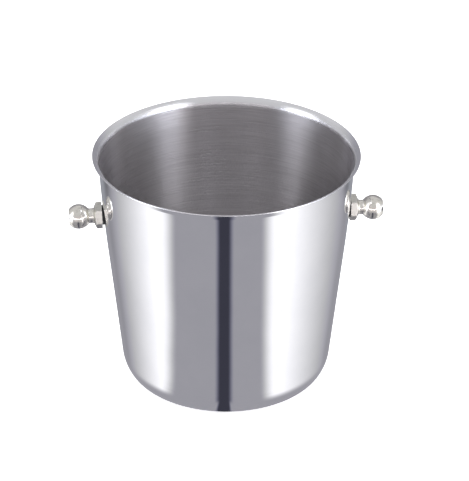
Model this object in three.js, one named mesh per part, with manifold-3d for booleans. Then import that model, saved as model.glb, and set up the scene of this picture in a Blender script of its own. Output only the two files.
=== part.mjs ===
// Champagne bucket: a spun stainless steel bucket with a flared mouth and two ball handles.
// Each handle is a turned knob whose threaded shank passes through the wall and is clamped
// between a hex nut outside and a washer and cap nut inside, with a saddle gasket each side.
// Millimetres, +Z up. The origin is the centre of the base, and the knobs lie along X.
import * as THREE from "three";
import { mergeVertices } from "three/addons/utils/BufferGeometryUtils.js";
import Module from "manifold-3d";

const wasm = await Module();
wasm.setup();

// Bucket
const HEIGHT = 204.5;
const RIM_RADIUS = 111;
const SHEET = 1; // thickness of the steel
const WALL_LEAN = THREE.MathUtils.degToRad(6.15); // from the vertical, below the bend
const NECK_LEAN = THREE.MathUtils.degToRad(3.2); // at the top of the bend
const LIP_LEAN = THREE.MathUtils.degToRad(75); // at the end of the flare
const BEND_RADIUS = 1500; // the slight barrel curve of the upper wall
const FLARE_RADIUS = 6.4; // outer face of the flare
const CORNER_UPPER_RADIUS = 30; // the corner between wall and base is two arcs
const CORNER_LOWER_RADIUS = 15;
const CORNER_LEAN = THREE.MathUtils.degToRad(33); // where the two arcs meet
const PANEL_RADIUS = 58; // the raised panel stamped into the base
const PANEL_RISE = 2;
const PANEL_STEP = 4; // width of the ramp round the panel
const ROUND_STEPS = 96; // facets round the bucket

// Handles, measured outwards along the handle's axis from the wall's outer face
const HANDLE_HEIGHT = 150.3;
const HANDLE_DROOP = THREE.MathUtils.degToRad(2);
const CLEARANCE = 0.3; // between neighbouring pieces
const SHANK_RADIUS = 6;
const HOLE_RADIUS = 6.4;
const GASKET_RADIUS = 9;
const GASKET_FACE = 0.95; // the outer gasket's flat face
const NUT_START = GASKET_FACE + CLEARANCE;
const NUT_LENGTH = 6.75;
const NUT_ACROSS_FLATS = 20;
const NUT_TURN = THREE.MathUtils.degToRad(15); // how far back each hex nut's top corner leans
const NUT_CONE = 2; // length of the cone on the nut's outer end
const NUT_CONE_RADIUS = 7.4; // the cone's small end
const NECK_RADIUS = 6.2;
const BALL_RADIUS = 10.4;
const BALL_CENTRE = 20.8;
const KNOB_END = 28.9; // the flat end of the ball
const INNER_FACE = -2.3; // the inner gasket's flat face
const WASHER_LENGTH = 1.4;
const WASHER_RADIUS = 11.6;
const CAP_START = INNER_FACE - WASHER_LENGTH - 2 * CLEARANCE;
const CAP_HEX_LENGTH = 5.4;
const CAP_DOME_RADIUS = 8.9;
const CAP_DOME_LENGTH = 6;
const CAP_BORE_LENGTH = 8.6;
const SHANK_END = CAP_START - 7.4;
const HANDLE_STEPS = 32; // facets round a handle's pieces

const STEEL = 0xc9cacd;
const NICKEL = 0xcfccc4;
const RUBBER = 0x1b1b1d;

const point = (x, y) => new THREE.Vector2(x, y);

// count + 1 points on a circle, from one angle to another.
function arc(centre, radius, from, to, count) {
  const points = [];
  for (let i = 0; i <= count; i++) {
    const angle = from + ((to - from) * i) / count;
    points.push(point(centre.x + radius * Math.cos(angle), centre.y + radius * Math.sin(angle)));
  }
  return points;
}

function toSolid(geometry) {
  const bare = geometry.clone();
  bare.deleteAttribute("normal");
  bare.deleteAttribute("uv");
  const merged = mergeVertices(bare, 1e-4);
  return new wasm.Manifold(
    new wasm.Mesh({
      numProp: 3,
      vertProperties: merged.attributes.position.array,
      triVerts: new Uint32Array(merged.index.array),
    }),
  );
}

function toGeometry(solid) {
  const mesh = solid.getMesh();
  const geometry = new THREE.BufferGeometry();
  geometry.setAttribute("position", new THREE.BufferAttribute(mesh.vertProperties, 3));
  geometry.setIndex(new THREE.BufferAttribute(mesh.triVerts, 1));
  geometry.computeVertexNormals();
  return geometry;
}

// A profile of (radius, height) points turned about Z.
function turnedUp(profile, steps) {
  return new THREE.LatheGeometry(profile, steps).rotateX(Math.PI / 2);
}

// A profile of (radius, distance) points turned about the handle's axis, which is X.
function turnedOut(profile) {
  return new THREE.LatheGeometry(profile, HANDLE_STEPS).rotateZ(-Math.PI / 2);
}

function ring(inner, outer, start, end) {
  const corners = [point(inner, start), point(outer, start), point(outer, end), point(inner, end)];
  return turnedOut([...corners, corners[0].clone()]);
}

function rod(radius, start, end) {
  return turnedOut([point(0, start), point(radius, start), point(radius, end), point(0, end)]);
}

// A hexagonal bar along X with two of its corners at the top and bottom.
function hexBar(acrossFlats, start, end) {
  const shape = new THREE.Shape();
  const cornerRadius = acrossFlats / Math.sqrt(3);
  for (let i = 0; i < 6; i++) {
    const angle = (i * Math.PI) / 3 + Math.PI / 2;
    const corner = [cornerRadius * Math.cos(angle), cornerRadius * Math.sin(angle)];
    if (i === 0) shape.moveTo(...corner);
    else shape.lineTo(...corner);
  }
  const bar = new THREE.ExtrudeGeometry(shape, { depth: end - start, bevelEnabled: false });
  return bar.rotateX(Math.PI / 2).rotateZ(Math.PI / 2).translate(start, 0, 0);
}

// Unit vector out of a wall that leans outwards by an angle from the vertical.
const outOf = (lean) => point(Math.cos(lean), -Math.sin(lean));

// The profile's centres, from the lip down. Both faces of the sheet share them.
const lipCentre = point(RIM_RADIUS - SHEET / 2, HEIGHT - SHEET / 2);
const flareCentre = lipCentre.clone().addScaledVector(outOf(LIP_LEAN), FLARE_RADIUS + SHEET / 2);
const bendTop = flareCentre.clone().addScaledVector(outOf(NECK_LEAN), -FLARE_RADIUS);
const bendCentre = bendTop.clone().addScaledVector(outOf(NECK_LEAN), -BEND_RADIUS);
const bendFoot = bendCentre.clone().addScaledVector(outOf(WALL_LEAN), BEND_RADIUS);
const wallRadius = (z) => bendFoot.x - (bendFoot.y - z) * Math.tan(WALL_LEAN);
const cornerStep = CORNER_UPPER_RADIUS - CORNER_LOWER_RADIUS;
const upperCentreHeight = CORNER_LOWER_RADIUS + cornerStep * Math.sin(CORNER_LEAN);
const wallFoot = upperCentreHeight - CORNER_UPPER_RADIUS * Math.sin(WALL_LEAN);
const upperCentre = point(
  wallRadius(wallFoot) - CORNER_UPPER_RADIUS * Math.cos(WALL_LEAN),
  upperCentreHeight,
);
const lowerCentre = upperCentre.clone().addScaledVector(outOf(CORNER_LEAN), cornerStep);

// The radius of the wall's outer face at a height within the bend.
function bendRadiusAt(z) {
  const lean = Math.asin((bendCentre.y - z) / BEND_RADIUS);
  return bendCentre.x + BEND_RADIUS * Math.cos(lean);
}

// One face of the bucket from the centre of its base to its lip, inset from the outer face.
function bucketFace(inset) {
  return [
    point(0, PANEL_RISE + inset),
    point(PANEL_RADIUS, PANEL_RISE + inset),
    point(PANEL_RADIUS + PANEL_STEP, inset),
    ...arc(lowerCentre, CORNER_LOWER_RADIUS - inset, -Math.PI / 2, -CORNER_LEAN, 7),
    ...arc(upperCentre, CORNER_UPPER_RADIUS - inset, -CORNER_LEAN, -WALL_LEAN, 5).slice(1),
    ...arc(bendCentre, BEND_RADIUS - inset, -WALL_LEAN, -NECK_LEAN, 6),
    ...arc(flareCentre, FLARE_RADIUS + inset, Math.PI - NECK_LEAN, Math.PI - LIP_LEAN, 8).slice(1),
  ];
}

function makeShell(holes) {
  const lip = arc(lipCentre, SHEET / 2, -LIP_LEAN, Math.PI - LIP_LEAN, 4);
  const profile = [...bucketFace(0), ...lip.slice(1, -1), ...bucketFace(SHEET).reverse()];
  return toGeometry(
    holes.reduce((shell, hole) => shell.subtract(hole), toSolid(turnedUp(profile, ROUND_STEPS))),
  );
}

// A solid that follows the wall's outer face near the handles, moved out by grow.
function wallCore(grow) {
  const levels = [-20, -10, 0, 10, 20].map((offset) => HANDLE_HEIGHT + offset);
  const profile = [
    point(0, levels[0]),
    ...levels.map((z) => point(bendRadiusAt(z) + grow, z)),
    point(0, levels.at(-1)),
  ];
  return turnedUp(profile, ROUND_STEPS);
}

function makeOuterGasket(toHandle) {
  const blank = toSolid(ring(HOLE_RADIUS, GASKET_RADIUS, -4, GASKET_FACE));
  return toGeometry(blank.subtract(toSolid(wallCore(CLEARANCE).applyMatrix4(toHandle))));
}

function makeInnerGasket(toHandle) {
  const blank = toSolid(ring(HOLE_RADIUS, GASKET_RADIUS, INNER_FACE, 2));
  return toGeometry(blank.intersect(toSolid(wallCore(-SHEET - CLEARANCE).applyMatrix4(toHandle))));
}

function makeNut() {
  const end = NUT_START + NUT_LENGTH;
  const corner = NUT_ACROSS_FLATS / Math.sqrt(3) + 0.05;
  const envelope = turnedOut([
    point(0, NUT_START),
    point(corner - 0.9, NUT_START),
    point(corner, NUT_START + 0.5),
    point(corner, end - NUT_CONE),
    point(NUT_CONE_RADIUS, end),
    point(0, end),
  ]);
  return toGeometry(
    toSolid(hexBar(NUT_ACROSS_FLATS, NUT_START - 1, end + 1))
      .intersect(toSolid(envelope))
      .subtract(toSolid(rod(HOLE_RADIUS, NUT_START - 2, end + 2))),
  );
}

function makeCapNut() {
  const domeStart = CAP_START - CAP_HEX_LENGTH;
  const corner = NUT_ACROSS_FLATS / Math.sqrt(3) + 0.05;
  const envelope = turnedOut([
    ...arc(point(0, 0), 1, -Math.PI / 2, 0, 8).map((p) =>
      point(CAP_DOME_RADIUS * p.x, domeStart + CAP_DOME_LENGTH * p.y),
    ),
    point(corner, domeStart + 1.1),
    point(corner, CAP_START - 0.5),
    point(corner - 0.9, CAP_START),
    point(0, CAP_START),
  ]);
  return toGeometry(
    toSolid(hexBar(NUT_ACROSS_FLATS, domeStart - CAP_DOME_LENGTH - 1, CAP_START + 1))
      .intersect(toSolid(envelope))
      .subtract(toSolid(rod(HOLE_RADIUS, CAP_START - CAP_BORE_LENGTH, CAP_START + 1))),
  );
}

function makeKnob() {
  const neckStart = NUT_START + NUT_LENGTH + CLEARANCE;
  const neckAngle = Math.asin(NECK_RADIUS / BALL_RADIUS);
  const endAngle = Math.asin((KNOB_END - BALL_CENTRE - 0.3) / BALL_RADIUS);
  return turnedOut([
    point(0, SHANK_END),
    point(SHANK_RADIUS - 1, SHANK_END),
    point(SHANK_RADIUS, SHANK_END + 1),
    point(SHANK_RADIUS, neckStart),
    point(NECK_RADIUS + 0.3, neckStart),
    point(NECK_RADIUS + 0.3, neckStart + 0.8),
    point(NECK_RADIUS, neckStart + 1.3),
    ...arc(point(0, BALL_CENTRE), BALL_RADIUS, neckAngle - Math.PI / 2, endAngle, 14),
    point(BALL_RADIUS * Math.cos(endAngle) - 0.6, KNOB_END),
    point(0, KNOB_END),
  ]);
}

// The frame of one handle: its origin is where its axis meets the wall's outer face.
function handleFrame(turn) {
  const side = new THREE.Group();
  side.rotation.z = turn;
  const frame = new THREE.Group();
  frame.position.set(bendRadiusAt(HANDLE_HEIGHT), 0, HANDLE_HEIGHT);
  frame.rotation.y = HANDLE_DROOP;
  side.add(frame);
  side.updateMatrixWorld(true);
  return { side, frame };
}

const steel = new THREE.MeshStandardMaterial({ color: STEEL, roughness: 0.12, metalness: 1 });
const nickel = new THREE.MeshStandardMaterial({ color: NICKEL, roughness: 0.2, metalness: 1 });
const rubber = new THREE.MeshStandardMaterial({ color: RUBBER, roughness: 0.8, metalness: 0 });

function named(name, geometry, material) {
  const mesh = new THREE.Mesh(geometry, material);
  mesh.name = name;
  return mesh;
}

const handles = {
  right: { ...handleFrame(0), nutTurn: -NUT_TURN },
  left: { ...handleFrame(Math.PI), nutTurn: NUT_TURN },
};
const toHandle = handles.right.frame.matrixWorld.clone().invert();
const pieces = {
  knob: [makeKnob(), nickel],
  hex_nut: [makeNut(), nickel],
  outer_gasket: [makeOuterGasket(toHandle), rubber],
  inner_gasket: [makeInnerGasket(toHandle), rubber],
  inner_washer: [
    ring(HOLE_RADIUS, WASHER_RADIUS, CAP_START + CLEARANCE, INNER_FACE - CLEARANCE),
    steel,
  ],
  cap_nut: [makeCapNut(), nickel],
};

const bucket = new THREE.Group();
const holes = [];
for (const [sideName, { side, frame, nutTurn }] of Object.entries(handles)) {
  for (const [pieceName, [geometry, material]] of Object.entries(pieces)) {
    const mesh = named(`${sideName}_${pieceName}`, geometry, material);
    if (pieceName === "hex_nut") mesh.rotation.x = nutTurn;
    frame.add(mesh);
  }
  bucket.add(side);
  holes.push(toSolid(rod(HOLE_RADIUS, -20, 20).applyMatrix4(frame.matrixWorld)));
}
bucket.add(named("bucket_shell", makeShell(holes), steel));

export default bucket;
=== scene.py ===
"""A polished champagne bucket with two ball handles, on a pale floor in a photographic studio."""

import math
from types import SimpleNamespace

import bmesh
import bpy
from mathutils import Matrix, Vector


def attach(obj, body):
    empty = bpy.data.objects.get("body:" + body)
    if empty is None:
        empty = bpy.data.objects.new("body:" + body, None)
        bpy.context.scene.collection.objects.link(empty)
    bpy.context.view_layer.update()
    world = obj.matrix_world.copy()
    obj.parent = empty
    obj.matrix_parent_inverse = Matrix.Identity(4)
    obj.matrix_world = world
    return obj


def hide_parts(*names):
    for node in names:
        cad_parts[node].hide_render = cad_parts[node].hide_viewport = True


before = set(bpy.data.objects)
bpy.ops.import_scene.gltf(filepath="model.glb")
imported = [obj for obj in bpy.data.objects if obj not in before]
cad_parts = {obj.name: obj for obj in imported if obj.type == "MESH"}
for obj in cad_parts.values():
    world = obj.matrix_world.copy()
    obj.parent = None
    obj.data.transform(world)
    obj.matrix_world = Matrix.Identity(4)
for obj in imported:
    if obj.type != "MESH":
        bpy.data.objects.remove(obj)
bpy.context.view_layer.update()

MM = 0.001
rad = math.radians

# The bucket, in millimetres and degrees, as in the CAD model.
HEIGHT = 204.5
RIM_RADIUS = 111
SHEET = 1
WALL_LEAN = 6.15  # from the vertical, below the bend
NECK_LEAN = 3.2  # at the top of the bend
LIP_LEAN = 75  # at the end of the flare
BEND_RADIUS = 1500  # the slight barrel curve of the upper wall
FLARE_RADIUS = 6.4
CORNER_UPPER_RADIUS = 30  # the corner between wall and base is two arcs
CORNER_LOWER_RADIUS = 15
CORNER_LEAN = 33  # where the two arcs meet
PANEL_RADIUS = 58  # the raised panel stamped into the base
PANEL_RISE = 2
PANEL_STEP = 4
BUCKET_STEPS = 360
SATIN_TOP = HEIGHT - 1.2  # above this the inside is polished like the lip
SATIN_FLOOR = 16  # below this the inside faces up, and the outside down
CREASE = 40
AXIS_RADIUS = 1e-6  # a point nearer to the axis than this is on it

# A handle, measured outwards along its axis from the wall's outer face.
HANDLE_HEIGHT = 150.3
HANDLE_DROOP = 2
SEAT_GAP = 0.05  # between a gasket and the wall
SHANK_RADIUS = 6
HOLE_RADIUS = 6.4
HOLE_REACH = 12  # how far each way the hole is cut
HOLE_STEPS = 64
GASKET_RADIUS = 8.4
GASKET_FACE = 1.23
NUT_START = 1.25
NUT_LENGTH = 6.75
COLLAR_GAP = 0.05  # between the nut and the knob's collar
NUT_ACROSS_FLATS = 20
NUT_CORNER_RADIUS = NUT_ACROSS_FLATS / math.sqrt(3) + 0.05
NUT_TURN = 15
HEX_ROUNDING = 0.22  # where a cone or a chamfer meets the flats
NUT_CONE = 2
NUT_CONE_RADIUS = 7.4
NECK_RADIUS = 6.2
NECK_BLEND = 0.9  # how far the fillet between neck and ball reaches
BALL_RADIUS = 10.4
BALL_CENTRE = 20.8
KNOB_END = 28.9
INNER_FACE = -2.55
WASHER_GAP = 0.02  # between the inner gasket and the washer
WASHER_LENGTH = 1.4
WASHER_RADIUS = 11.6
CAP_START = -4.25
CAP_HEX_LENGTH = 5.4
CAP_DOME_RADIUS = 8.9
CAP_DOME_LENGTH = 6
CAP_BORE_LENGTH = 8.6
SHANK_END = -11.7
HANDLE_STEPS = 128


# ---------------------------------------------------------------- profiles

def arc(centre, radius, start, end, count):
    """count + 1 points on a circle between two angles in degrees."""
    angles = [rad(start + (end - start) * i / count) for i in range(count + 1)]
    return [(centre[0] + radius * math.cos(a), centre[1] + radius * math.sin(a)) for a in angles]


def line(start, end, count):
    """count points from start towards end, without end."""
    return [
        (start[0] + (end[0] - start[0]) * i / count, start[1] + (end[1] - start[1]) * i / count)
        for i in range(count)
    ]


def out_of(lean):
    """Unit vector out of a wall that leans outwards by lean degrees."""
    return Vector((math.cos(rad(lean)), -math.sin(rad(lean))))


lip_centre = Vector((RIM_RADIUS - SHEET / 2, HEIGHT - SHEET / 2))
flare_centre = lip_centre + out_of(LIP_LEAN) * (FLARE_RADIUS + SHEET / 2)
bend_top = flare_centre - out_of(NECK_LEAN) * FLARE_RADIUS
bend_centre = bend_top - out_of(NECK_LEAN) * BEND_RADIUS
bend_foot = bend_centre + out_of(WALL_LEAN) * BEND_RADIUS
corner_step = CORNER_UPPER_RADIUS - CORNER_LOWER_RADIUS
upper_centre_height = CORNER_LOWER_RADIUS + corner_step * math.sin(rad(CORNER_LEAN))
wall_foot = upper_centre_height - CORNER_UPPER_RADIUS * math.sin(rad(WALL_LEAN))
wall_foot_radius = bend_foot.x - (bend_foot.y - wall_foot) * math.tan(rad(WALL_LEAN))
upper_centre = Vector((
    wall_foot_radius - CORNER_UPPER_RADIUS * math.cos(rad(WALL_LEAN)),
    upper_centre_height,
))
lower_centre = upper_centre + out_of(CORNER_LEAN) * corner_step


def bend_radius_at(z):
    """Radius of the wall's outer face where the handles are."""
    return bend_centre.x + math.sqrt(BEND_RADIUS**2 - (bend_centre.y - z) ** 2)


def smooth(t):
    return t * t * (3 - 2 * t)


def bucket_face(inset):
    """One face of the sheet from the centre of the base to the lip."""
    panel_edge = PANEL_RADIUS - 1
    panel = line((0, PANEL_RISE + inset), (panel_edge, PANEL_RISE + inset), 14)
    shares = [i / 12 for i in range(12)]
    ramp = [
        (panel_edge + (PANEL_STEP + 2) * share, PANEL_RISE * (1 - smooth(share)) + inset)
        for share in shares
    ]
    lower = arc(lower_centre, CORNER_LOWER_RADIUS - inset, -90, -CORNER_LEAN, 22)
    upper = arc(upper_centre, CORNER_UPPER_RADIUS - inset, -CORNER_LEAN, -WALL_LEAN, 14)
    wall_top = bend_foot - out_of(WALL_LEAN) * inset
    wall = line(upper[-1], tuple(wall_top), 36)
    bend = arc(bend_centre, BEND_RADIUS - inset, -WALL_LEAN, -NECK_LEAN, 22)
    flare = arc(flare_centre, FLARE_RADIUS + inset, 180 - NECK_LEAN, 180 - LIP_LEAN, 26)
    return panel + ramp + lower + upper[1:-1] + wall + bend + flare[1:]


# ---------------------------------------------------------------- meshes

def soft_min(a, b, width):
    """The smaller of two lengths, with the corner between them rounded."""
    h = min(1, max(0, 0.5 + 0.5 * (b - a) / width))
    return b + (a - b) * h - width * h * (1 - h)


def round_outline(steps):
    """Directions round an axis, with no limit on the radius."""
    turns = [2 * math.pi * i / steps for i in range(steps)]
    return [(math.cos(turn), math.sin(turn), math.inf) for turn in turns]


def hex_outline(across_flats, fillet=0.55, flat_steps=12, corner_steps=6):
    """Directions round a hexagon with two corners up and down, and its radius in each."""
    reach = (across_flats - 2 * fillet) / math.sqrt(3)
    corners = []
    for turn in range(90, 450, 60):
        centre = (reach * math.cos(rad(turn)), reach * math.sin(rad(turn)))
        corners.append(arc(centre, fillet, turn - 30, turn + 30, corner_steps))
    points = []
    for corner, after in zip(corners, corners[1:] + corners[:1]):
        points += corner[:-1] + line(corner[-1], after[0], flat_steps)
    return [(x / math.hypot(x, y), y / math.hypot(x, y), math.hypot(x, y)) for x, y in points]


def build_mesh(name, verts, faces):
    mesh = bpy.data.meshes.new(name)
    mesh.from_pydata([tuple(MM * c for c in v) for v in verts], [], faces)
    work = bmesh.new()
    work.from_mesh(mesh)
    bmesh.ops.recalc_face_normals(work, faces=work.faces)
    work.to_mesh(mesh)
    work.free()
    return mesh


def turned(name, profile, outline, closed=False, place=None, reseat=None):
    """A profile of (radius, distance) points turned about X, or about Z where place is None.

    An outline can hold the radius in, as on a hexagon. An open profile starts and ends on the
    axis. reseat(y, z) gives the distance of a point whose own distance is None.
    """
    verts, rings, faces = [], [], []
    for radius, along in profile:
        start = len(verts)
        if radius < AXIS_RADIUS:
            rings.append([start])
            verts.append((0, 0, along))
            continue
        rings.append(list(range(start, start + len(outline))))
        for c, s, limit in outline:
            r = radius if limit == math.inf else soft_min(radius, limit, HEX_ROUNDING)
            here = reseat(r * c, r * s) if along is None else along
            verts.append((r * c, r * s, here))
    pairs = list(zip(rings, rings[1:]))
    if closed:
        pairs.append((rings[-1], rings[0]))
    count = len(outline)
    for low, high in pairs:
        for i in range(count):
            j = (i + 1) % count
            if len(low) == 1:
                faces.append((low[0], high[j], high[i]))
            elif len(high) == 1:
                faces.append((low[i], low[j], high[0]))
            else:
                faces.append((low[i], low[j], high[j], high[i]))
    if place is not None:
        verts = [tuple(place @ Vector((a, y, z))) for y, z, a in verts]
    return build_mesh(name, verts, faces)


def finish_mesh(mesh, sharp_angle):
    mesh.polygons.foreach_set("use_smooth", [True] * len(mesh.polygons))
    mesh.set_sharp_from_angle(angle=rad(sharp_angle))
    mesh.update()


def add_object(name, mesh, materials, sharp_angle):
    finish_mesh(mesh, sharp_angle)
    for material in materials:
        mesh.materials.append(material)
    piece = bpy.data.objects.new(name, mesh)
    bpy.context.scene.collection.objects.link(piece)
    return piece


# ---------------------------------------------------------------- materials

class Nodes:
    """Short calls for making a node tree. A value is a number, a colour or another socket."""

    def __init__(self, tree):
        self.tree = tree
        tree.nodes.clear()

    def put(self, socket, value):
        if isinstance(value, bpy.types.NodeSocket):
            self.tree.links.new(value, socket)
        else:
            socket.default_value = value

    def add(self, kind, inputs=None, **settings):
        node = self.tree.nodes.new("ShaderNode" + kind)
        for key, value in settings.items():
            setattr(node, key, value)
        for key, value in (inputs or {}).items():
            self.put(node.inputs[key], value)
        return node

    def math(self, operation, *values):
        return self.add("Math", dict(enumerate(values)), operation=operation).outputs[0]

    def total(self, first, *rest):
        for value in rest:
            first = self.math("ADD", first, value)
        return first

    def product(self, first, *rest):
        for value in rest:
            first = self.math("MULTIPLY", first, value)
        return first

    def span(self, value, low, high, out_low, out_high, kind="SMOOTHSTEP"):
        """out_low at low and out_high at high, with a smooth or a straight way between."""
        node = self.add("MapRange", {0: value, 1: low, 2: high, 3: out_low, 4: out_high},
                        interpolation_type=kind)
        return node.outputs[0]

    def rise(self, value, low, high):
        return self.span(value, low, high, 0.0, 1.0)

    def fall(self, value, low, high):
        return self.span(value, low, high, 1.0, 0.0)

    def mix(self, factor, first, second):
        """A colour between two colours."""
        node = self.add("Mix", {0: factor, 6: first, 7: second}, data_type="RGBA")
        return node.outputs[2]

    def blend(self, factor, first, second):
        """A number between two numbers."""
        return self.add("Mix", {0: factor, 2: first, 3: second}, data_type="FLOAT").outputs[0]

    def noise(self, vector, scale, detail, roughness):
        node = self.add("TexNoise", {"Vector": vector, "Scale": scale, "Detail": detail,
                                     "Roughness": roughness})
        return node.outputs["Fac"]

    def stretch(self, vector, factors):
        node = self.add("VectorMath", {0: vector, 1: factors}, operation="MULTIPLY")
        return node.outputs[0]

    def split(self, vector):
        return self.add("SeparateXYZ", {0: vector}).outputs

    def radius(self, x, y):
        return self.math("SQRT", self.total(self.product(x, x), self.product(y, y)))

    def to_camera_side(self, vector):
        """The same vector where +Y is the way the camera looks across the floor."""
        node = self.add("VectorRotate", {"Vector": vector, "Angle": rad(BUCKET_TURN)},
                        rotation_type="Z_AXIS")
        return node.outputs[0]

    def bump(self, height, strength, distance, normal=None):
        inputs = {"Height": height, "Strength": strength, "Distance": distance}
        if normal is not None:
            inputs["Normal"] = normal
        return self.add("Bump", inputs).outputs[0]


def new_material(name):
    material = bpy.data.materials.new(name)
    material.use_nodes = True
    nodes = Nodes(material.node_tree)
    shader = nodes.add("BsdfPrincipled")
    nodes.add("OutputMaterial", {"Surface": shader.outputs[0]})
    position = nodes.add("TexCoord").outputs["Object"]
    return material, nodes, shader, position


def wire(nodes, shader, **values):
    for key, value in values.items():
        nodes.put(shader.inputs[key.replace("_", " ")], value)


def round_lines(nodes, position, round_scale, along_scale, detail, roughness):
    """Noise in lines that run round the bucket, on its wall and its base alike."""
    x, y, z = nodes.split(position)
    along = nodes.total(nodes.radius(x, y), z)  # grows all the way along the sheet's profile
    vector = nodes.add("CombineXYZ", {0: nodes.product(x, round_scale),
                                      1: nodes.product(y, round_scale),
                                      2: nodes.product(along, along_scale)}).outputs[0]
    return nodes.noise(vector, scale=1.0, detail=detail, roughness=roughness)


# Two colours for each material: where it is dull or dark, and where it is bright.
MIRROR_TINTS = ((0.885, 0.885, 0.9, 1), (0.915, 0.913, 0.925, 1))
SATIN_TINTS = ((0.615, 0.598, 0.61, 1), (0.7, 0.682, 0.694, 1))
SATIN_TOP_TINT = (0.88, 0.88, 0.89, 1)
KNOB_TINTS = ((0.74, 0.715, 0.65, 1), (0.88, 0.855, 0.785, 1))
# The nuts' tints are a darker copy of the knobs' nickel plate: painted shade, which dims the
# strong glows that the nuts reflect.
NUT_SHADED_TINTS = ((0.58, 0.565, 0.515, 1), (0.68, 0.665, 0.61, 1))
RUBBER_TINTS = ((0.024, 0.024, 0.026, 1), (0.055, 0.055, 0.057, 1))
WASHER_TINTS = ((0.62, 0.62, 0.63, 1), (0.74, 0.74, 0.75, 1))
KNOB_ROUGHNESS = 0.14
NUT_ROUGHNESS = 0.34


def polished_steel():
    """Buffed to a mirror, with faint buffing lines round the bucket and a little handling."""
    material, nodes, shader, position = new_material("mirror_polished_steel")
    lines = round_lines(nodes, position, 9.0, 1500.0, detail=2, roughness=0.6)
    smudge = nodes.noise(position, scale=28.0, detail=4, roughness=0.6)
    wave = nodes.noise(nodes.stretch(position, (1, 1, 1.6)), scale=16.0, detail=1, roughness=0.4)
    worn = nodes.rise(smudge, 0.52, 0.72)
    rough = nodes.total(nodes.span(lines, 0.3, 0.7, 0.026, 0.044), nodes.product(worn, 0.022))
    tint = nodes.mix(nodes.rise(smudge, 0.3, 0.7), *MIRROR_TINTS)
    normal = nodes.bump(wave, strength=0.08, distance=0.001)
    normal = nodes.bump(lines, strength=0.02, distance=0.0001, normal=normal)
    wire(nodes, shader, Base_Color=tint, Metallic=1.0, Roughness=rough, Normal=normal)
    return material


def satin_steel():
    """Spun with a fine abrasive, so that its lines run round and highlights stretch up and down.

    It grows smoother and brighter over the last few millimetres below the polished lip.
    """
    material, nodes, shader, position = new_material("satin_spun_steel")
    fine = round_lines(nodes, position, 14.0, 1900.0, detail=3, roughness=0.65)
    coarse = round_lines(nodes, position, 24.0, 800.0, detail=2, roughness=0.55)
    patch = nodes.noise(position, scale=22.0, detail=3, roughness=0.55)
    height = nodes.split(position)[2]
    below = nodes.fall(height, (HEIGHT - 9) * MM, (HEIGHT - 2) * MM)
    rough = nodes.total(nodes.span(fine, 0.25, 0.75, 0.29, 0.36),
                        nodes.span(patch, 0.35, 0.7, -0.02, 0.03))
    rough = nodes.product(rough, nodes.total(nodes.product(below, 0.5), 0.5))
    shade = nodes.total(nodes.product(fine, 0.5), nodes.product(coarse, 0.5))
    tint = nodes.mix(nodes.rise(shade, 0.35, 0.65), *SATIN_TINTS)
    tint = nodes.mix(below, SATIN_TOP_TINT, tint)
    normal = nodes.bump(coarse, strength=0.42, distance=0.0004)
    normal = nodes.bump(fine, strength=0.12, distance=0.00012, normal=normal)
    tangent = nodes.add("Tangent", direction_type="RADIAL", axis="Z").outputs[0]
    wire(nodes, shader, Base_Color=tint, Metallic=1.0, Roughness=rough, Normal=normal,
         Tangent=tangent, Anisotropic=1.0, Anisotropic_Rotation=0.25)
    return material


def nickel_plate(name, tints, roughness):
    """Nickel over turned brass, with fine tool lines and small dulled spots."""
    material, nodes, shader, position = new_material(name)
    lines_at = nodes.stretch(position, (2600, 60, 60))
    lines = nodes.noise(lines_at, scale=1.0, detail=2, roughness=0.6)
    spots = nodes.noise(position, scale=420.0, detail=3, roughness=0.6)
    wear = nodes.rise(spots, 0.5, 0.7)
    rough = nodes.total(nodes.span(lines, 0.3, 0.7, roughness, roughness + 0.03),
                        nodes.product(wear, 0.07))
    dull, bright = tints
    tint = nodes.mix(wear, bright, dull)
    normal = nodes.bump(spots, strength=0.05, distance=0.0003)
    normal = nodes.bump(lines, strength=0.03, distance=0.0001, normal=normal)
    wire(nodes, shader, Base_Color=tint, Metallic=1.0, Roughness=rough, Normal=normal)
    return material


def black_rubber():
    """Moulded rubber with a fine grain and a dusting of bloom."""
    material, nodes, shader, position = new_material("moulded_black_rubber")
    grain = nodes.noise(position, scale=2400.0, detail=2, roughness=0.6)
    bloom = nodes.noise(position, scale=190.0, detail=3, roughness=0.6)
    tint = nodes.mix(nodes.rise(bloom, 0.45, 0.7), *RUBBER_TINTS)
    rough = nodes.span(bloom, 0.3, 0.7, 0.55, 0.75)
    normal = nodes.bump(grain, strength=0.25, distance=0.0001)
    wire(nodes, shader, Base_Color=tint, Roughness=rough, Normal=normal)
    return material


def plain_washer():
    """Punched sheet with rolling lines across it."""
    material, nodes, shader, position = new_material("rolled_washer_steel")
    lines_at = nodes.stretch(position, (200, 200, 3200))
    lines = nodes.noise(lines_at, scale=1.0, detail=3, roughness=0.6)
    spots = nodes.noise(position, scale=260.0, detail=3, roughness=0.6)
    tint = nodes.mix(nodes.rise(spots, 0.4, 0.65), *WASHER_TINTS)
    rough = nodes.span(lines, 0.3, 0.7, 0.2, 0.34)
    normal = nodes.bump(lines, strength=0.12, distance=0.0001)
    wire(nodes, shader, Base_Color=tint, Metallic=1.0, Roughness=rough, Normal=normal)
    return material


POLISHED = polished_steel()
SATIN = satin_steel()
NICKEL = nickel_plate("bright_nickel_plate", KNOB_TINTS, KNOB_ROUGHNESS)
# The same nickel plate as the knobs, made darker for the hex nuts and domed nuts: painted shade.
SHADED_NUT_NICKEL = nickel_plate("nut_nickel_plate_painted_shade", NUT_SHADED_TINTS, NUT_ROUGHNESS)
RUBBER = black_rubber()
WASHER = plain_washer()


# ---------------------------------------------------------------- bucket

def handle_place(turn):
    """From a handle's own frame to the bucket's, in millimetres."""
    return (
        Matrix.Rotation(rad(turn), 4, "Z")
        @ Matrix.Translation((bend_radius_at(HANDLE_HEIGHT), 0, HANDLE_HEIGHT))
        @ Matrix.Rotation(rad(HANDLE_DROOP), 4, "Y")
    )


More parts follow.
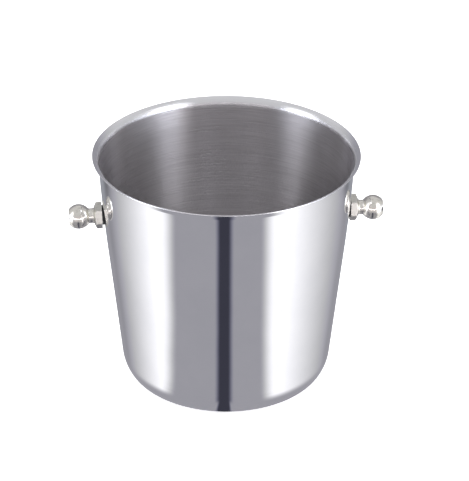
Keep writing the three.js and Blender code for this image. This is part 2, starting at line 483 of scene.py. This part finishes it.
def cut(piece, cutter):
    """Takes cutter out of piece and removes it."""
    modifier = piece.modifiers.new("cut", "BOOLEAN")
    modifier.operation = "DIFFERENCE"
    modifier.solver = "EXACT"
    modifier.object = cutter
    bpy.context.view_layer.update()
    evaluated = piece.evaluated_get(bpy.context.evaluated_depsgraph_get())
    mesh = bpy.data.meshes.new_from_object(evaluated)
    piece.modifiers.remove(modifier)
    piece.data = mesh
    bpy.data.objects.remove(cutter, do_unlink=True)


outside = bucket_face(0)
inside = bucket_face(SHEET)
lip = arc(lip_centre, SHEET / 2, -LIP_LEAN, 180 - LIP_LEAN, 12)
shell_mesh = turned("steel_bucket", outside + lip[1:-1] + inside[::-1],
                    round_outline(BUCKET_STEPS))
bucket = add_object("steel_bucket", shell_mesh, [POLISHED, SATIN], CREASE)
for turn in (0, 180):
    rod = [(0, -HOLE_REACH), (HOLE_RADIUS, -HOLE_REACH), (HOLE_RADIUS, HOLE_REACH),
           (0, HOLE_REACH)]
    cutter_mesh = turned("hole", rod, round_outline(HOLE_STEPS), place=handle_place(turn))
    cutter = bpy.data.objects.new("hole", cutter_mesh)
    bpy.context.scene.collection.objects.link(cutter)
    cut(bucket, cutter)


def is_satin(polygon):
    """True inside the bucket, below the polished lip."""
    centre, normal = polygon.center / MM, polygon.normal
    if centre.z < SATIN_FLOOR:
        inward = normal.z > 0
    else:
        inward = normal.x * centre.x + normal.y * centre.y < 0
    return inward and centre.z < SATIN_TOP


for polygon in bucket.data.polygons:
    polygon.material_index = 1 if is_satin(polygon) else 0
finish_mesh(bucket.data, CREASE)
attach(bucket, "root")
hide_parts("bucket_shell")


# ---------------------------------------------------------------- handles

HANDLE_OUTLINE = round_outline(HANDLE_STEPS)
HEX_OUTLINE = hex_outline(NUT_ACROSS_FLATS)


def near(radius, along, steps):
    """Points told by how far out and how far on they are from one place of a profile."""
    return [(radius + out, along + on) for out, on in steps]


def knob_profile():
    """Shank, collar, neck, a small fillet into the ball, and the faced-off end."""
    start = NUT_START + NUT_LENGTH + COLLAR_GAP
    points = [(0, SHANK_END)] + near(SHANK_RADIUS, SHANK_END, [(-0.9, 0), (0, 0.9)])
    points += line((SHANK_RADIUS, SHANK_END + 1), (SHANK_RADIUS, start), 8)
    points.append((SHANK_RADIUS, start))
    points += near(NECK_RADIUS, start, [(0.2, 0), (0.32, 0.12), (0.32, 0.7), (0.2, 0.95),
                                        (0, 1.15)])
    join = BALL_CENTRE - math.sqrt(BALL_RADIUS**2 - NECK_RADIUS**2)
    ball = [(r, BALL_CENTRE + a) for r, a in arc((0, 0), BALL_RADIUS, -90, 90, 180)]
    ball = [p for p in ball if p[1] > join + NECK_BLEND * 0.75]
    fillet_foot = Vector((NECK_RADIUS, join - NECK_BLEND))
    fillet_corner = Vector((NECK_RADIUS, join))
    fillet_top = Vector(ball[0])
    points += line((NECK_RADIUS, start + 1.4), tuple(fillet_foot), 3)
    for i in range(7):
        t = i / 7
        middle = fillet_corner * 2 * t * (1 - t)
        points.append(tuple(fillet_foot * (1 - t) ** 2 + middle + fillet_top * t * t))
    rim_start = KNOB_END - 0.35
    rim = math.sqrt(BALL_RADIUS**2 - (rim_start - BALL_CENTRE) ** 2)
    points += [p for p in ball if p[1] < rim_start]
    points += near(rim, KNOB_END, [(0, -0.35), (-0.16, -0.16), (-0.42, -0.03), (-0.7, 0)])
    points += [(rim * 0.66, KNOB_END), (rim * 0.33, KNOB_END), (0, KNOB_END)]
    return points


def nut_profile():
    """A hex nut with a cone on its outer end, from bore to bore."""
    start, end = NUT_START, NUT_START + NUT_LENGTH
    points = near(HOLE_RADIUS, end, [(0, -0.4), (0.12, -0.1), (0.35, 0)])
    points += near(NUT_CONE_RADIUS, end, [(-0.3, 0), (0, -0.06)])
    cone_start = (NUT_CONE_RADIUS + 0.15, end - 0.16)
    cone_foot = (NUT_CORNER_RADIUS, end - NUT_CONE)
    side_foot = (NUT_CORNER_RADIUS, start + 0.5)
    chamfer_foot = (NUT_CORNER_RADIUS - 0.9, start + 0.02)
    points += line(cone_start, cone_foot, 18)
    points += line(cone_foot, side_foot, 6)
    points += line(side_foot, chamfer_foot, 8)
    points += [chamfer_foot, (NUT_CORNER_RADIUS - 1.3, start)]
    points += near(HOLE_RADIUS, start, [(1.5, 0), (0.4, 0), (0, 0.4)])
    return points


def cap_nut_profile():
    """A domed nut, from the middle of its dome to the end of its blind bore."""
    dome_start = CAP_START - CAP_HEX_LENGTH
    bore_end = CAP_START - CAP_BORE_LENGTH
    dome = arc((0, 0), 1, -90, -4, 20)
    points = [(CAP_DOME_RADIUS * r, dome_start + CAP_DOME_LENGTH * a) for r, a in dome]
    shoulder = (NUT_CORNER_RADIUS, dome_start + 1.1)
    side_end = (NUT_CORNER_RADIUS, CAP_START - 0.5)
    face_edge = (NUT_CORNER_RADIUS - 0.9, CAP_START)
    points += line((CAP_DOME_RADIUS + 0.1, dome_start), shoulder, 8)
    points += line(shoulder, side_end, 6)
    points += line(side_end, face_edge, 6)
    points.append(face_edge)
    points += near(HOLE_RADIUS, CAP_START, [(0.4, 0), (0, -0.4)])
    points += near(HOLE_RADIUS, bore_end, [(0, 0.5), (-0.5, 0)])
    points.append((0, bore_end))
    return points


def washer_profile():
    end = INNER_FACE - WASHER_GAP
    start = end - WASHER_LENGTH
    points = [(HOLE_RADIUS, start + 0.2), (HOLE_RADIUS, end)]
    points += near(WASHER_RADIUS, end, [(-0.1, 0), (0, -0.12)])
    points += near(WASHER_RADIUS, start, [(0, 0.4), (-0.12, 0.15), (-0.4, 0)])
    points.append((HOLE_RADIUS + 0.2, start))
    return points


def gasket_profile(face, away):
    """A rubber ring from its flat face to its seat on the wall. away is the side of the face.

    None stands for the seat's distances, which follow from the wall.
    """
    points = near(HOLE_RADIUS, face, [(0, -0.2 * away), (0.2, 0)])
    points += near(GASKET_RADIUS, face, [(-0.35, 0), (-0.1, -0.1 * away)])
    points += [(GASKET_RADIUS - inset, None) for inset in (0.05, 0.3, 1.2)]
    points.append((HOLE_RADIUS, None))
    return points


def make_gasket(name, face, away, grow, place):
    """A gasket between a flat face and the wall's outer face, moved out by grow."""
    def to_wall(y, z):
        x = 0
        for _ in range(6):
            point = place @ Vector((x, y, z))
            x += bend_radius_at(point.z) + grow - math.hypot(point.x, point.y)
        return x

    return turned(name, gasket_profile(face, away), HANDLE_OUTLINE, closed=True, place=place,
                  reseat=to_wall)


for side, turn, nut_turn in (("right", 0, -NUT_TURN), ("left", 180, NUT_TURN)):
    place = handle_place(turn)
    nut_place = place @ Matrix.Rotation(rad(nut_turn), 4, "X")
    knob = turned(f"{side}_ball_knob", knob_profile(), HANDLE_OUTLINE, place=place)
    nut = turned(f"{side}_nut", nut_profile(), HEX_OUTLINE, closed=True, place=nut_place)
    outer_seal = make_gasket(f"{side}_outer_seal", GASKET_FACE, 1, SEAT_GAP, place)
    inner_seal = make_gasket(f"{side}_inner_seal", INNER_FACE, -1, -SHEET - SEAT_GAP, place)
    washer = turned(f"{side}_washer", washer_profile(), HANDLE_OUTLINE, closed=True, place=place)
    cap_nut = turned(f"{side}_domed_nut", cap_nut_profile(), HEX_OUTLINE, place=place)
    for node, mesh, material, slot, crease in (
        ("knob", knob, NICKEL, "nickel_plate", 30),
        ("hex_nut", nut, SHADED_NUT_NICKEL, "nickel_plate", 40),
        ("outer_gasket", outer_seal, RUBBER, "black_rubber", 35),
        ("inner_gasket", inner_seal, RUBBER, "black_rubber", 35),
        ("inner_washer", washer, WASHER, "plain_steel", 30),
        ("cap_nut", cap_nut, SHADED_NUT_NICKEL, "nickel_plate", 40),
    ):
        piece = add_object(mesh.name, mesh, [material], crease)
        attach(piece, "root")
        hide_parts(f"{side}_{node}")


# ---------------------------------------------------------------- studio

# The bucket stands turned a little, so that its left knob is nearer to the camera.
BUCKET_TURN = 4.3
CAMERA_DISTANCE = 1803.4
CAMERA_HEIGHT = 1104.7
CAMERA_PITCH = 28.584
CAMERA_YAW = 0.22
CAMERA_ROLL = 0.273
LENS = 182.66

WHITE = (1, 1, 1, 1)
FLOOR_REACH = 4000
FLOOR_COLOUR = (0.9, 0.9, 0.9, 1)
FLOOR_ROUGHNESS = 0.9
FLOOR_GLOW = 0.7
LAMP_SIZE = 1.6  # metres
LAMP_HEIGHT = 2.2
LAMP_POWER = 42

# The shade on the floor, in millimetres, with the stripe that runs across it.
SHADE_REACH = 112
SHADE_DROP = 0.5
SHADE_EDGE = (90 * MM, 108 * MM)
SHADE_STRIPE_LEFT = (-9.6 * MM, -6.4 * MM)
SHADE_STRIPE_RIGHT = (2.8 * MM, 5.8 * MM)
SHADE_STRIPE_END = (-60 * MM, -30 * MM)

# The world's light is laid out by the part of the bucket that shows each direction to the
# camera. facing is that part's angle round the bucket in degrees, positive to the right, and
# aside is its size. across is facing's sine. dip is how many degrees the surface faces down:
# the outside of the bucket is above 0, the inside below. level is how far the direction itself
# points up. Two numbers in brackets are where a change starts and ends.
STUDIO_VIEW_DIP = 30.7
OUTSIDE = (-4.0, 0.0)  # dip, from the inside's light to the outside's
BEHIND = (0.8, 0.93)  # cosine of the angle to the view
BACK_LIGHT = 0.33

# Outside: grey, with a dark stripe in the middle and a white box at each side. Their edges are
# shares of the wall's half width at mid height. Each row of WALL_WIDTHS is two values of dip
# and what the row adds to that width at each.
WALL_WIDTHS = (
    (1.0, 5.8, 1.16, 1.086),
    (5.8, 7.06, 0.0, -0.152),
    (7.06, 57.0, 0.0, -0.096),
)
GREY = 0.36
STRIPE = 0.048
STRIPE_LEFT = (-0.107, -0.051)
STRIPE_RIGHT = (0.017, 0.077)
LEFT_BOX = (-0.585, -0.445)
RIGHT_BOX = (0.304, 0.444)
BOX_LIGHT = 1.15
SIDE_GREY = 0.25  # what the boxes fall to, over these stretches of across
LEFT_FALL = (-0.615, -0.955)
RIGHT_FALL = (0.545, 1.0)
FLOOR_LIGHT = 0.55  # what the base shows
FLOOR_DIP = (60.0, 70.0)

# Inside: a ceiling that is dark at the sides, soft boxes that replace its light, and glows just
# above the level of the rim that add to it. A box or a glow has its middle and its reach in
# facing, the width of its edge, and its strength.
CEILING = 0.62
CEILING_SIDES = 0.05
SIDES_DIP = (-23.0, -18.5)
SIDES_ASIDE = (35.0, 52.0)
UPPER_LEFT = (-37.5, 7, 11, 2.7)
UPPER_RIGHT = (28, 7.5, 11, 3.1)
SHOULDER_RIGHT = (37, 9, 14, 1.1)
GLOW_LEFT = (-39, 11, 14, 3.4)
GLOW_RIGHT = (33, 13, 12, 3.4)
GLOW_FOOT = (-0.06, 0.0)  # level
GLOW_TOP = (0.09, 0.15)
RIM_GLOW = 4.0
RIM_GLOW_FOOT = (-0.03, 0.0)  # level
RIM_GLOW_TOP = (0.03, 0.065)
RIM_GLOW_ENDS = (46.0, 68.0)  # aside
OVERHEAD = 0.64  # what the bucket's floor shows
OVERHEAD_SIDES = 0.33
OVERHEAD_ASIDE = (55.0, 90.0)
OVERHEAD_DIP = (-52.0, -28.0)

# Tints. The inside's wall runs from warm in the middle to cool at the sides, and elsewhere
# dim light is cooler than bright light.
COOL = (0.975, 0.965, 1.06, 1)
PALE = (0.982, 0.982, 1.012, 1)
PALE_LIGHT = (0.4, 0.55)
WARM = (0.985, 0.945, 0.985, 1)
COOLER = (0.955, 0.985, 1.09, 1)
COOLER_ASIDE = (18.0, 28.0)
INNER_WALL = (-36.0, -24.0)  # dip, from the inside's floor to its wall
STRIPE_TINT = (0.92, 0.93, 1.32, 1)


def make_camera():
    pitch, yaw, roll = rad(CAMERA_PITCH), rad(CAMERA_YAW), rad(CAMERA_ROLL)
    right = Vector((math.cos(yaw), -math.sin(yaw), 0))
    away = Vector((math.sin(yaw) * math.cos(pitch), math.cos(yaw) * math.cos(pitch),
                   -math.sin(pitch)))
    up = right.cross(away)
    turned_right = right * math.cos(roll) + up * math.sin(roll)
    turned_up = up * math.cos(roll) - right * math.sin(roll)
    pose = Matrix((turned_right, turned_up, -away)).transposed().to_4x4()
    pose.translation = Vector((0, -CAMERA_DISTANCE, CAMERA_HEIGHT)) * MM
    data = bpy.data.cameras.new("camera")
    data.lens = LENS
    data.clip_end = 50
    camera = bpy.data.objects.new("camera", data)
    camera.matrix_world = Matrix.Rotation(rad(-BUCKET_TURN), 4, "Z") @ pose
    bpy.context.scene.collection.objects.link(camera)
    bpy.context.scene.camera = camera


def add_square(name, reach, material):
    """A level square round the origin."""
    reach = reach * MM
    corners = [(-reach, -reach, 0), (reach, -reach, 0), (reach, reach, 0), (-reach, reach, 0)]
    mesh = bpy.data.meshes.new(name)
    mesh.from_pydata(corners, [], [(0, 1, 2, 3)])
    mesh.materials.append(material)
    square = bpy.data.objects.new(name, mesh)
    bpy.context.scene.collection.objects.link(square)
    return square


def make_floor():
    material, nodes, shader, _ = new_material("pale_floor")
    wire(nodes, shader, Base_Color=FLOOR_COLOUR, Roughness=FLOOR_ROUGHNESS, Emission_Color=WHITE,
         Emission_Strength=FLOOR_GLOW)
    floor = add_square("floor", FLOOR_REACH, material)
    floor.visible_glossy = False


def make_shade():
    """The bucket's own grey shade on the floor, which only its polished corner shows."""
    material = bpy.data.materials.new("floor_shade")
    material.use_nodes = True
    nodes = Nodes(material.node_tree)
    x, y, _ = nodes.split(nodes.to_camera_side(nodes.add("TexCoord").outputs["Object"]))
    stripe = nodes.product(nodes.rise(x, *SHADE_STRIPE_LEFT), nodes.fall(x, *SHADE_STRIPE_RIGHT),
                           nodes.fall(y, *SHADE_STRIPE_END))
    light = nodes.blend(stripe, GREY, STRIPE)
    tint = nodes.mix(stripe, COOL, STRIPE_TINT)
    glow = nodes.add("Emission", {"Color": tint, "Strength": light}).outputs[0]
    clear = nodes.add("BsdfTransparent").outputs[0]
    open_share = nodes.rise(nodes.radius(x, y), *SHADE_EDGE)
    surface = nodes.add("MixShader", {0: open_share, 1: glow, 2: clear}).outputs[0]
    nodes.add("OutputMaterial", {"Surface": surface})
    shade = add_square("floor_shade", SHADE_REACH, material)
    shade.location = (0, 0, -SHADE_DROP * MM)
    shade.visible_camera = False
    shade.visible_diffuse = False
    shade.visible_shadow = False


def studio_directions(nodes):
    """The measures that the light is laid out by, for every direction of the world."""
    direction = nodes.to_camera_side(nodes.add("TexCoord").outputs["Generated"])
    view_dip = rad(STUDIO_VIEW_DIP)
    view = (0, math.cos(view_dip), -math.sin(view_dip))
    normal = nodes.add("VectorMath", {0: direction, 1: view}, operation="SUBTRACT").outputs[0]
    normal = nodes.add("VectorMath", {0: normal}, operation="NORMALIZE").outputs[0]
    to_view = nodes.add("VectorMath", {0: direction, 1: view}, operation="DOT_PRODUCT")
    x, y, z = nodes.split(normal)
    angle = nodes.math("ARCTAN2", x, nodes.product(y, -1.0))
    facing = nodes.math("DEGREES", angle)
    return SimpleNamespace(
        facing=facing,
        aside=nodes.math("ABSOLUTE", facing),
        across=nodes.math("SINE", angle),
        dip=nodes.product(nodes.math("DEGREES", nodes.math("ARCSINE", z)), -1.0),
        level=nodes.split(direction)[2],
        behind=nodes.rise(to_view.outputs["Value"], *BEHIND),
    )


def outside_light(nodes, at):
    """The light that the outside of the bucket shows, and the dark stripe's share of it."""
    widths = [nodes.span(at.dip, *row, "LINEAR") for row in WALL_WIDTHS]
    place = nodes.product(at.across, nodes.total(*widths))
    left_light = nodes.span(at.across, *LEFT_FALL, BOX_LIGHT, SIDE_GREY, "LINEAR")
    right_light = nodes.span(at.across, *RIGHT_FALL, BOX_LIGHT, SIDE_GREY, "LINEAR")
    light = nodes.blend(nodes.fall(place, *LEFT_BOX), GREY, left_light)
    light = nodes.blend(nodes.rise(place, *RIGHT_BOX), light, right_light)
    stripe = nodes.product(nodes.rise(place, *STRIPE_LEFT), nodes.fall(place, *STRIPE_RIGHT))
    light = nodes.blend(stripe, light, STRIPE)
    return nodes.blend(nodes.rise(at.dip, *FLOOR_DIP), light, FLOOR_LIGHT), stripe


def inside_light(nodes, at):
    """The light that the inside of the bucket and the upper side of its lip show."""
    sides = nodes.span(at.dip, *SIDES_DIP, CEILING, CEILING_SIDES)
    light = nodes.blend(nodes.rise(at.aside, *SIDES_ASIDE), CEILING, sides)
    rim_glow = nodes.product(nodes.span(at.level, *RIM_GLOW_TOP, RIM_GLOW, 0.0),
                             nodes.rise(at.level, *RIM_GLOW_FOOT),
                             nodes.fall(at.aside, *RIM_GLOW_ENDS))
    light = nodes.total(light, rim_glow)
    near_level = nodes.product(nodes.fall(at.level, *GLOW_TOP), nodes.rise(at.level, *GLOW_FOOT))

    def share(middle, reach, edge):
        distance = nodes.math("ABSOLUTE", nodes.math("SUBTRACT", at.facing, middle))
        return nodes.fall(distance, reach - edge / 2, reach + edge / 2)

    for *outline, strength in (SHOULDER_RIGHT, UPPER_LEFT, UPPER_RIGHT):
        light = nodes.blend(share(*outline), light, strength)
    for *outline, strength in (GLOW_LEFT, GLOW_RIGHT):
        light = nodes.total(light, nodes.product(near_level, strength, share(*outline)))
    overhead = nodes.span(at.aside, *OVERHEAD_ASIDE, OVERHEAD, OVERHEAD_SIDES)
    return nodes.blend(nodes.rise(at.dip, *OVERHEAD_DIP), overhead, light)


def light_tint(nodes, at, light, stripe):
    tint = nodes.mix(nodes.rise(light, *PALE_LIGHT), COOL, PALE)
    wall_tint = nodes.mix(nodes.rise(at.aside, *COOLER_ASIDE), WARM, COOLER)
    wall = nodes.product(nodes.rise(at.dip, *INNER_WALL), nodes.fall(at.dip, *OUTSIDE))
    tint = nodes.mix(wall, tint, wall_tint)
    return nodes.mix(nodes.product(stripe, nodes.rise(at.dip, *OUTSIDE)), tint, STRIPE_TINT)


def make_world():
    """Plain white to the camera, and the studio to everything else."""
    world = bpy.data.worlds.new("studio")
    world.use_nodes = True
    bpy.context.scene.world = world
    nodes = Nodes(world.node_tree)
    at = studio_directions(nodes)
    outer, stripe = outside_light(nodes, at)
    light = nodes.blend(nodes.rise(at.dip, *OUTSIDE), inside_light(nodes, at), outer)
    light = nodes.blend(at.behind, light, BACK_LIGHT)
    seen = nodes.add("LightPath").outputs["Is Camera Ray"]
    light = nodes.blend(seen, light, 1.0)
    tint = nodes.mix(seen, light_tint(nodes, at, light, stripe), WHITE)
    background = nodes.add("Background", {"Color": tint, "Strength": light}).outputs[0]
    nodes.add("OutputWorld", {"Surface": background})


def make_lights():
    data = bpy.data.lights.new("overhead", "AREA")
    data.shape = "DISK"
    data.size = LAMP_SIZE
    data.energy = LAMP_POWER
    lamp = bpy.data.objects.new("overhead", data)
    lamp.location = (0, 0, LAMP_HEIGHT)
    lamp.visible_glossy = False
    bpy.context.scene.collection.objects.link(lamp)


make_camera()
make_floor()
make_shade()
make_world()
make_lights()
bpy.context.scene.view_settings.view_transform = "Standard"
